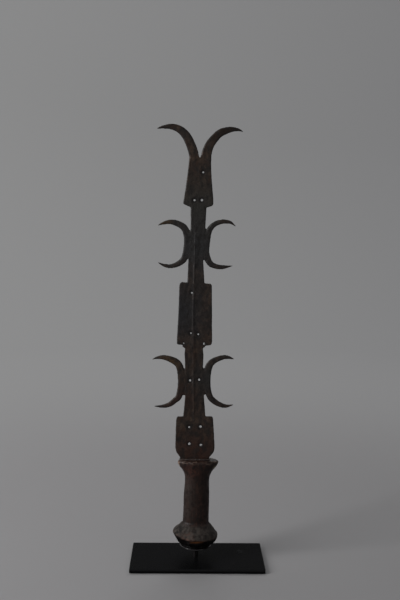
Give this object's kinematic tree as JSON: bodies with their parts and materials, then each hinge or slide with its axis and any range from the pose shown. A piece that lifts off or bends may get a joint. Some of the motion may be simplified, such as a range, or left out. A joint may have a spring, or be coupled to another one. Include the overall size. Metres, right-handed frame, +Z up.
{
  "type": "knife currency on a display stand",
  "caption": "Hand-forged iron knife currency: a long flat blade with curved horns, side crescents and punched holes, a carved wooden hilt, lifted off the pin of a black steel stand.",
  "frame": {"origin": "centre of the felt's underside, on the surface that the stand rests on", "axes": "+Z up along the knife, +X to the right and +Y to the rear as the picture shows it; the blade lies in the XZ plane"},
  "size_m": [0.2, 0.1, 0.6533],
  "materials": {
    "iron": "dark hammered forged iron with an old oxide skin and a little rust",
    "wood": "dark oiled hardwood, worn lighter on the edges",
    "resin": "dark hardened plant resin",
    "black_steel": "satin black paint",
    "zinc_steel": "zinc-plated steel",
    "felt": "black felt"
  },
  "bodies": {
    "stand": {"base_felt": "felt", "base_plate": "black_steel", "base_screw": "zinc_steel", "stem": "black_steel", "seat_disc": "black_steel"},
    "washer": {"seat_pad": "felt"},
    "knife": {"blade": "iron", "hilt": "wood", "tang_resin": "resin"}
  },
  "joints": [
    {"name": "knife_turn", "type": "hinge", "parent": "stand", "child": "washer", "pos_m": [-0.0025, 0, 0.0267], "axis": [0, 0, 1], "continuous": true},
    {"name": "knife_lift", "type": "slide", "parent": "washer", "child": "knife", "axis": [0, 0, 1], "range_m": [0, 0.06]}
  ]
}
